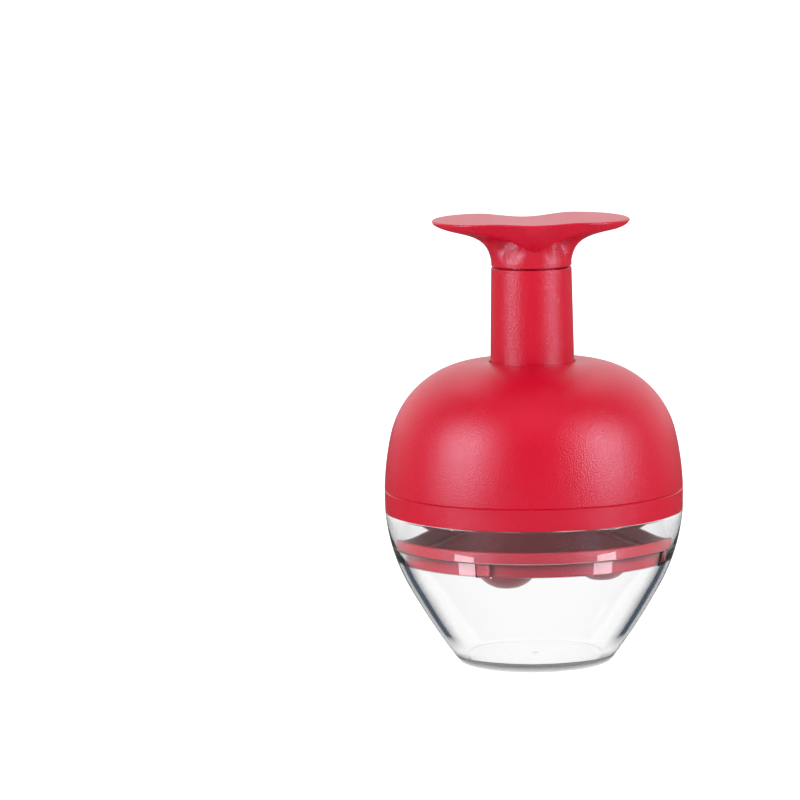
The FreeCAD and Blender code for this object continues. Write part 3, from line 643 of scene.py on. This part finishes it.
def make_tube():
    tube = turned([(11.4, 92.4, 0.3), (27.9, 92.4, 0.5), (27.9, 94.9), (14.1, 94.9, 0.4),
                   (14.1, 101.9), (13.5, 133.6, 0.3), (11.4, 133.6, 0.4), (11.4, 128.5),
                   (1.6, 128.5), (1.6, 126.0), (11.4, 126.0)])
    holes = bmesh.new()
    head_seats = bmesh.new()
    for angle in CUP_ANGLES:
        add_bar(holes, PUNCH_HOLE, 92.0, 94.0, polar(CUP_CIRCLE, angle))
        add_bar(head_seats, HEAD_SEAT, 93.7, 95.5, polar(CUP_CIRCLE, angle))
    for angle in BETWEEN_ANGLES:
        add_bar(holes, CLAMP_SCREW_HOLE, 92.9, 95.5, polar(CUP_CIRCLE, angle), SCREW_STEPS)
    tube = boolean(boolean(tube, holes), head_seats)
    return add_piece("press_tube", tube, "plunger", "red_plastic", "plunger_tube")


make_tube()

# %% [markdown]
# Each punch is a turned steel pin with a flat head. Its tip has a bevel, so that it enters the
# cherry cleanly, and a shallow dimple, which keeps the pit from sliding off. Each bush is soft
# rubber with a rounded lip.

# %% Punches and bushes
def make_punches():
    for number, angle in enumerate(CUP_ANGLES, 1):
        punch = turned([(0, 60.9), (1.5, 60.35, 0.2), (2.0, 60.3), (2.5, 60.8, 0.15), (2.5, 93.7),
                        (3.3, 93.7, 0.2), (3.3, 94.9, 0.2), (0, 94.9)], SMALL_SPIN_STEPS)
        bush = turned([(2.65, 58.8, 0.15), (4.3, 58.8, 0.35), (4.3, 59.5), (3.65, 59.5),
                       (3.65, 62.0, 0.2), (2.65, 62.0, 0.2)], SMALL_SPIN_STEPS)
        for bm in (punch, bush):
            bmesh.ops.translate(bm, verts=bm.verts, vec=polar(CUP_CIRCLE, angle) * MM)
        add_piece("punch_pin_%d" % number, punch, "plunger", "steel", "punch_%d" % number)
        add_piece("punch_bush_%d" % number, bush, "head", "seal_rubber", "punch_seal_%d" % number)


make_punches()

# %% [markdown]
# The return spring is one wire wound round the post. A bmesh spin that also moves along Z sweeps
# the wire's round section into a coil. Real compression springs have closed ends, where the last
# turn lies almost flat against its neighbour, so the coil is three spins in a row: a flat turn,
# the open turns, and a flat turn again.

# %% Return spring
WIRE_RADIUS = 0.6
COIL_RADIUS = 8.6
COIL_BOTTOM = 62.65
COIL_TOP = 124.15
CLOSED_RISE = 1.35
CLOSED_TURNS = 1
OPEN_TURNS = 9
STEPS_PER_TURN = 36
WIRE_SEGMENTS = 12


def make_spring():
    bm = bmesh.new()
    bmesh.ops.create_circle(bm, cap_ends=True, segments=WIRE_SEGMENTS, radius=WIRE_RADIUS * MM)
    upright = Matrix.Rotation(math.pi / 2, 3, "X")
    bmesh.ops.rotate(bm, verts=bm.verts, cent=(0, 0, 0), matrix=upright)
    bmesh.ops.translate(bm, verts=bm.verts, vec=Vector((COIL_RADIUS, 0, COIL_BOTTOM)) * MM)
    closed_run = (CLOSED_TURNS, CLOSED_RISE)
    open_run = (OPEN_TURNS, COIL_TOP - COIL_BOTTOM - 2 * CLOSED_RISE)
    end = bm.faces[:]
    for turns, rise in (closed_run, open_run, closed_run):
        steps = turns * STEPS_PER_TURN
        swept = bmesh.ops.spin(bm, geom=end, cent=(0, 0, 0), axis=(0, 0, 1),
                               angle=turns * FULL_TURN, dvec=(0, 0, rise * MM / steps),
                               steps=steps, use_duplicate=False)
        end = [item for item in swept["geom_last"] if isinstance(item, bmesh.types.BMFace)]
    # A disc stays behind where two runs meet. All its edges have three faces or more.
    inside = [face for face in bm.faces if all(len(edge.link_faces) > 2 for edge in face.edges)]
    bmesh.ops.delete(bm, geom=inside, context="FACES_ONLY")
    bmesh.ops.recalc_face_normals(bm, faces=bm.faces)
    spring = add_piece("wound_spring", bm, "head", "spring_steel", "return_spring")
    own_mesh(spring)
    return spring


make_spring()

# %% [markdown]
# The palm handle is a moulded form with no straight edges: two lobes, a shallow valley between
# them, a keel that runs from the front edge down to the neck, hollows beside the keel and a curve
# that flares from the neck to the lobes. Cutting it out of a block would leave creases
# everywhere. Instead it is built up in rings, as a potter raises a vessel. Three stations carry
# the form: the neck, the lobes' lower edge and the crease round the top. Each is a function of
# the direction from the axis, and the rings between them follow.

# %% Palm handle, outline and top
HANDLE_STEPS = 240
CREST = 150.0
LOBE_MIDDLE = 16.5
LOBE_HALF_LENGTH = 16.7
LOBE_DEPTHS = (19.4, 24.0)
NOTCHES = (0.5, 2.8)
VALLEYS = (0.85, 1.3)
VALLEY_REACH = 17.0
VALLEY_FRONT = -20.0
VALLEY_BACK = 20.0
TIP_DROP = 0.35
TIP_START = 18.0
TIP_END = 34.0
BEYOND_OUTLINE = 40.0
HALVINGS = 30


def smooth_step(low, high, value):
    share = min(max((value - low) / (high - low), 0.0), 1.0)
    return share * share * (3 - 2 * share)


def swell(share):
    """1 in the middle, falling smoothly to 0 at a share of 1."""
    return 0.5 + 0.5 * math.cos(min(share, 1.0) * math.pi)


def is_in_outline(x, y):
    """Seen from above: two lobes, with a shallow notch in front and a deeper one at the back."""
    back = y > 0
    depth = LOBE_DEPTHS[back] - NOTCHES[back] * swell(abs(x) / LOBE_MIDDLE)
    beyond = max(abs(x) - LOBE_MIDDLE, 0.0) / LOBE_HALF_LENGTH
    return beyond ** 2 + (y / depth) ** 2 < 1


def crest_height(x, y):
    """The top: a valley across the middle, deeper at the back, and tips that drop a little."""
    depth = VALLEYS[0] + (VALLEYS[1] - VALLEYS[0]) * smooth_step(VALLEY_FRONT, VALLEY_BACK, y)
    valley = depth * swell(abs(x) / VALLEY_REACH)
    return CREST - valley - TIP_DROP * smooth_step(TIP_START, TIP_END, math.hypot(x, y))


def outline_point(angle):
    """The point of the outline in a direction from the axis, found by halving."""
    low, high = 0.0, BEYOND_OUTLINE
    for _ in range(HALVINGS):
        middle = (low + high) / 2
        x, y, _ = polar(middle, angle)
        low, high = (middle, high) if is_in_outline(x, y) else (low, middle)
    return polar(low, angle)


HANDLE_ANGLES = [360.0 * step / HANDLE_STEPS for step in range(HANDLE_STEPS)]
OUTLINE = [outline_point(angle) for angle in HANDLE_ANGLES]
print("handle outline:", round(max(point.x for point in OUTLINE), 2), "mm from the axis to a tip")

# %% Palm handle, edges and neck
LEAN = 0.58
RIM_ROUNDING = 0.6
LOWER_EDGE = ((0.0, 139.6), (2.0, 140.1), (5.5, 141.9), (11.6, 144.2), (14.5, 144.9),
              (17.9, 145.6), (23.0, 146.4), (29.4, 146.9), (32.0, 147.5), (34.0, 148.3))
NECK_SIDE = ((13.5, 136.0), (13.65, 137.4), (13.95, 139.0), (14.4, 140.3), (15.3, 141.9),
             (16.6, 143.1), (18.4, 144.1))
NECK_HOLLOW = ((13.5, 136.0), (13.5, 138.2), (13.3, 139.3), (12.2, 140.3), (10.9, 141.6),
               (10.4, 143.4), (11.0, 144.9))
KEEL_BELLY = 1.5
KEEL_WIDTH = 3.2
FLARE_START = 0.76
FLARE_FULL = 0.96
KEEL_HALF = 0.10
KEEL_END = 0.50
HANDLE_TURN = 5.5


def read_off(table, value):
    """The second number of a table at a value of the first, in straight runs."""
    for (low, first), (high, last) in zip(table, table[1:]):
        if value <= high:
            return first + (last - first) * (value - low) / (high - low)
    return table[-1][1]


def inward(step):
    """The level direction into the outline at one of its points."""
    along = OUTLINE[(step + 1) % HANDLE_STEPS] - OUTLINE[step - 1]
    return Vector((-along.y, along.x, 0)).normalized()


def crease_point(step):
    point = OUTLINE[step].copy()
    point.z = crest_height(point.x, point.y) - RIM_ROUNDING
    return point


def lower_point(step):
    crease = crease_point(step)
    height = read_off(LOWER_EDGE, abs(crease.x))
    point = crease + inward(step) * LEAN * (crease.z - height)
    point.z = height
    return point


def neck_point(step, number):
    """The neck flares out sideways, is hollow beside the keel and runs straight down below it."""
    sideways = abs(math.sin(math.radians(HANDLE_ANGLES[step])))
    flare = smooth_step(FLARE_START, FLARE_FULL, sideways)
    keel = 1 - smooth_step(KEEL_HALF, KEEL_END, sideways)
    free = Vector(NECK_HOLLOW[number]).lerp(Vector(NECK_SIDE[number]), flare)
    edge = lower_point(step)
    share = number / (len(NECK_SIDE) - 1)
    straight = Vector(NECK_HOLLOW[0]).lerp(Vector((edge.xy.length, edge.z)), share)
    radius, height = free.lerp(straight, keel)
    return polar(radius, HANDLE_ANGLES[step], height)


print("keel tip:", [round(value, 2) for value in lower_point(0)])

# %% Palm handle, rings
CAP_INSIDE = [(0.0, 137.55), (1.6, 137.55), (1.6, 128.5), (3.8, 128.5), (3.8, 141.65),
              (9.45, 141.65), (9.45, 128.5), (11.0, 128.5), (11.25, 128.75), (11.25, 134.1),
              (13.25, 134.1), (13.5, 134.35), (13.5, 135.2)]
UNDER_SHARES = (0.2, 0.4, 0.6, 0.8, 0.93)
FACE_SHARES = (0.0, 0.06, 0.18, 0.34, 0.5, 0.66, 0.82, 0.93)
RIM_SHARES = (0.0, 0.25, 0.5, 0.75, 1.0)
TOP_SHARES = (0.94, 0.85, 0.7, 0.5, 0.3, 0.12, 0.0)
CRISP_FACE_ROWS = 2
SOFT_ROUNDS = 14


def under_point(step, share):
    return neck_point(step, len(NECK_SIDE) - 1).lerp(lower_point(step), share)


def face_point(step, share):
    """Between the lower edge and the crease, with a belly that makes the keel stand forward."""
    point = lower_point(step).lerp(crease_point(step), share)
    belly = KEEL_BELLY * math.exp(-(point.x / KEEL_WIDTH) ** 2)
    return point - inward(step) * belly * math.sin(math.pi * share)


def rim_point(step, share):
    """A quarter round between the side face and the top."""
    turn = FULL_TURN / 4 * share
    point = crease_point(step) + inward(step) * RIM_ROUNDING * (1 - math.cos(turn))
    point.z += RIM_ROUNDING * math.sin(turn)
    return point


def top_point(step, share):
    point = OUTLINE[step] * share
    point.z = crest_height(point.x, point.y)
    return point


def make_handle():
    """A sheet of squares is rolled up: its columns are the steps and its rows are the rings.

    The rows from the neck to just below the crease are softened, so that they blend into one form.
    """
    steps = range(HANDLE_STEPS)
    rings = [[polar(radius, angle, height) for angle in HANDLE_ANGLES]
             for radius, height in CAP_INSIDE]
    rings += [[neck_point(step, number) for step in steps] for number in range(len(NECK_SIDE))]
    soft_start = len(rings) - len(NECK_SIDE) + 1
    for maker, shares in ((under_point, UNDER_SHARES), (face_point, FACE_SHARES)):
        rings += [[maker(step, share) for step in steps] for share in shares]
    soft_end = len(rings) - 1 - CRISP_FACE_ROWS
    for maker, shares in ((rim_point, RIM_SHARES), (top_point, TOP_SHARES)):
        rings += [[maker(step, share) for step in steps] for share in shares]
    bm = bmesh.new()
    bmesh.ops.create_grid(bm, x_segments=HANDLE_STEPS, y_segments=len(rings) - 1, size=1.0)
    soft = []
    for vert in bm.verts:
        column = round((vert.co.x + 1) / 2 * HANDLE_STEPS) % HANDLE_STEPS
        row = round((vert.co.y + 1) / 2 * (len(rings) - 1))
        vert.co = rings[row][column] * MM
        if soft_start <= row <= soft_end:
            soft.append(vert)
    bmesh.ops.remove_doubles(bm, verts=bm.verts, dist=MERGE_DISTANCE)
    soft = [vert for vert in soft if vert.is_valid]
    for _ in range(SOFT_ROUNDS):
        bmesh.ops.smooth_vert(bm, verts=soft, factor=0.5, use_axis_x=True, use_axis_y=True,
                              use_axis_z=True)
    turn_about_axis(bm, bm.verts, HANDLE_TURN)
    bmesh.ops.recalc_face_normals(bm, faces=bm.faces)
    return add_piece("palm_handle", bm, "plunger", "red_plastic", "handle_cap")


make_handle()

# %% [markdown]
# The studio is a white table with a white sweep behind it and two soft boxes in front of the
# object, to the left and right. On a studio photograph the background is pure white because it is
# lit far brighter than the object. Here Light Path makes the floor and the world white for the
# camera and for what it sees through the bowl, so the lamps can stay at a plain level and the
# floor keeps the object's soft shadow. Gloss sees a dim floor, because a white one would put a
# pale haze on every surface that leans down. The sweep stands behind the object only, so gloss on
# the front comes from the soft boxes alone, and the red stays deep between them.

# %% Floor
FLOOR_SIZE = 12.0
FLOOR_GAP = 0.00002
FLOOR_GLOW = 0.46
FLOOR_SEEN_THROUGH = 1.08
FLOOR_MIRRORED = 0.12
GLOW_NEAR = 0.15
GLOW_FAR = 0.9


def make_floor_finish():
    finish = Finish("white_floor")
    paper = finish.noise(3.0)
    shader = finish.node("BsdfPrincipled", {}, {
        "Base Color": finish.mix(paper, (0.80, 0.80, 0.80, 1.0), (0.83, 0.83, 0.83, 1.0)),
        "Roughness": 0.9, "Specular IOR Level": 0.1})
    away = finish.node("VectorMath", {"operation": "LENGTH"}, {0: finish.place()}, output="Value")
    far = finish.node("MapRange", {"interpolation_type": "SMOOTHSTEP"},
                      {"Value": away, "From Min": GLOW_NEAR, "From Max": GLOW_FAR,
                       "To Min": FLOOR_GLOW, "To Max": 1.0})
    camera = finish.node("LightPath", output="Is Camera Ray")
    glow = finish.node("Emission", {}, {"Color": WHITE, "Strength": far * camera})
    seen = finish.node("AddShader", {}, {0: shader, 1: glow})
    dim = finish.node("Emission", {}, {"Color": WHITE, "Strength": FLOOR_MIRRORED})
    mirrored = finish.node("LightPath", output="Is Glossy Ray")
    seen = finish.node("MixShader", {}, {0: mirrored, 1: seen, 2: dim})
    white = finish.node("Emission", {}, {"Color": WHITE, "Strength": FLOOR_SEEN_THROUGH})
    seen = finish.node("MixShader", {}, {0: finish.seen_through(), 1: seen, 2: white})
    finish.node("OutputMaterial", {}, {"Surface": seen})
    return finish.material


def make_floor():
    bm = bmesh.new()
    bmesh.ops.create_grid(bm, x_segments=1, y_segments=1, size=FLOOR_SIZE / 2)
    bmesh.ops.translate(bm, verts=bm.verts, vec=(0, 0, -FLOOR_GAP))
    mesh = mesh_from(bm, "floor")
    mesh.materials.append(make_floor_finish())
    floor = bpy.data.objects.new("floor", mesh)
    bpy.context.scene.collection.objects.link(floor)
    return floor


print("floor:", make_floor().name)

# %% World
ROOM_LIGHT = 0.05
SWEEP_LIGHT = 0.95
SWEEP_START = 0.15
SWEEP_FULL = 0.75


class WorldFinish(Finish):
    """The world's node tree, built with the same method."""

    def __init__(self, world):
        world.use_nodes = True
        self.tree = world.node_tree
        self.tree.nodes.clear()


def make_world():
    world = bpy.data.worlds.new("white_studio")
    bpy.context.scene.world = world
    finish = WorldFinish(world)
    direction = finish.node("TexCoord", output="Generated")
    behind = finish.node("SeparateXYZ", {}, {"Vector": direction}, output="Y")
    sweep = finish.node("MapRange", {"interpolation_type": "SMOOTHSTEP"},
                        {"Value": behind, "From Min": SWEEP_START, "From Max": SWEEP_FULL,
                         "To Min": ROOM_LIGHT, "To Max": SWEEP_LIGHT})
    seen = finish.node("LightPath", output="Is Camera Ray") + finish.seen_through()
    strength = finish.node("Mix", {"data_type": "FLOAT"}, {0: seen.clamped(), 2: sweep, 3: 1.0})
    light = finish.node("Background", {}, {"Color": WHITE, "Strength": strength})
    finish.node("OutputWorld", {}, {"Surface": light})


make_world()
print("room light:", ROOM_LIGHT)

# %% [markdown]
# The two soft boxes leave the tall highlights on the dome, the tube and the tray. A fill from
# above lights the front of the red evenly. It shows in no gloss and not through the bowl, because
# it would fade the deep red between the highlights. A lamp above the back draws the light edge
# along the shoulder.

# %% Lamps
AIM = Vector((0, 0, 75)) * MM
LAMP_COLOUR = (0.94, 0.98, 1.0)


def add_lamp(name, azimuth, elevation, distance, width, height, power, mirrored=True):
    """A rectangular lamp that looks at the object. Angles in degrees, from the front towards +X."""
    lamp = bpy.data.lights.new(name, "AREA")
    lamp.shape = "RECTANGLE"
    lamp.size = width
    lamp.size_y = height
    lamp.energy = power
    lamp.color = LAMP_COLOUR
    obj = bpy.data.objects.new(name, lamp)
    obj.visible_glossy = mirrored
    obj.visible_transmission = mirrored
    bpy.context.scene.collection.objects.link(obj)
    rise = math.radians(elevation)
    away = polar(math.cos(rise), azimuth, math.sin(rise))
    obj.location = AIM + away * distance
    obj.rotation_euler = away.to_track_quat("Z", "Y").to_euler()


add_lamp("left_soft_box", -58, 19, 1.0, 0.32, 0.60, 8.2)
add_lamp("right_soft_box", 60, 19, 1.0, 0.32, 0.60, 8.2)
add_lamp("front_fill", 0, 62, 1.6, 0.9, 0.6, 9.0, mirrored=False)
add_lamp("top_light", 180, 62, 1.2, 0.9, 0.6, 3.6)
print("lamps:", len(bpy.data.lights))

# %% [markdown]
# The camera was worked out from the object's own ellipses: it stands 1.5 m in front of the axis
# and 0.29 m above the table, looks down by about eight degrees and is turned a little to the
# left, which puts the object right of the middle of the frame. A lens shift could do the same,
# but turning keeps the camera honest for other views.

# %% Camera
IMAGE_WIDTH = 800
FOCAL_PIXELS = 4496.0
SENSOR = 36.0
CAMERA_PLACE = Vector((0, -1500, 290)) * MM
CAMERA_TARGET = Vector((0, 0, 77)) * MM
TARGET_RIGHT = 133.1
TARGET_DOWN = 33.9
ROLL = math.radians(0.6)


def make_camera():
    data = bpy.data.cameras.new("camera")
    data.sensor_width = SENSOR
    data.lens = FOCAL_PIXELS * SENSOR / IMAGE_WIDTH
    camera = bpy.data.objects.new("camera", data)
    bpy.context.scene.collection.objects.link(camera)
    towards = (CAMERA_TARGET - CAMERA_PLACE).to_track_quat("-Z", "Y")
    down = math.atan(TARGET_DOWN / FOCAL_PIXELS)
    right = math.atan(TARGET_RIGHT / FOCAL_PIXELS)
    turn = Euler((down, right, -ROLL))
    camera.rotation_mode = "QUATERNION"
    camera.location = CAMERA_PLACE
    camera.rotation_quaternion = towards @ turn.to_quaternion()
    bpy.context.scene.camera = camera
    return data


bpy.context.scene.view_settings.view_transform = "Standard"
print("lens:", round(make_camera().lens, 1), "mm")
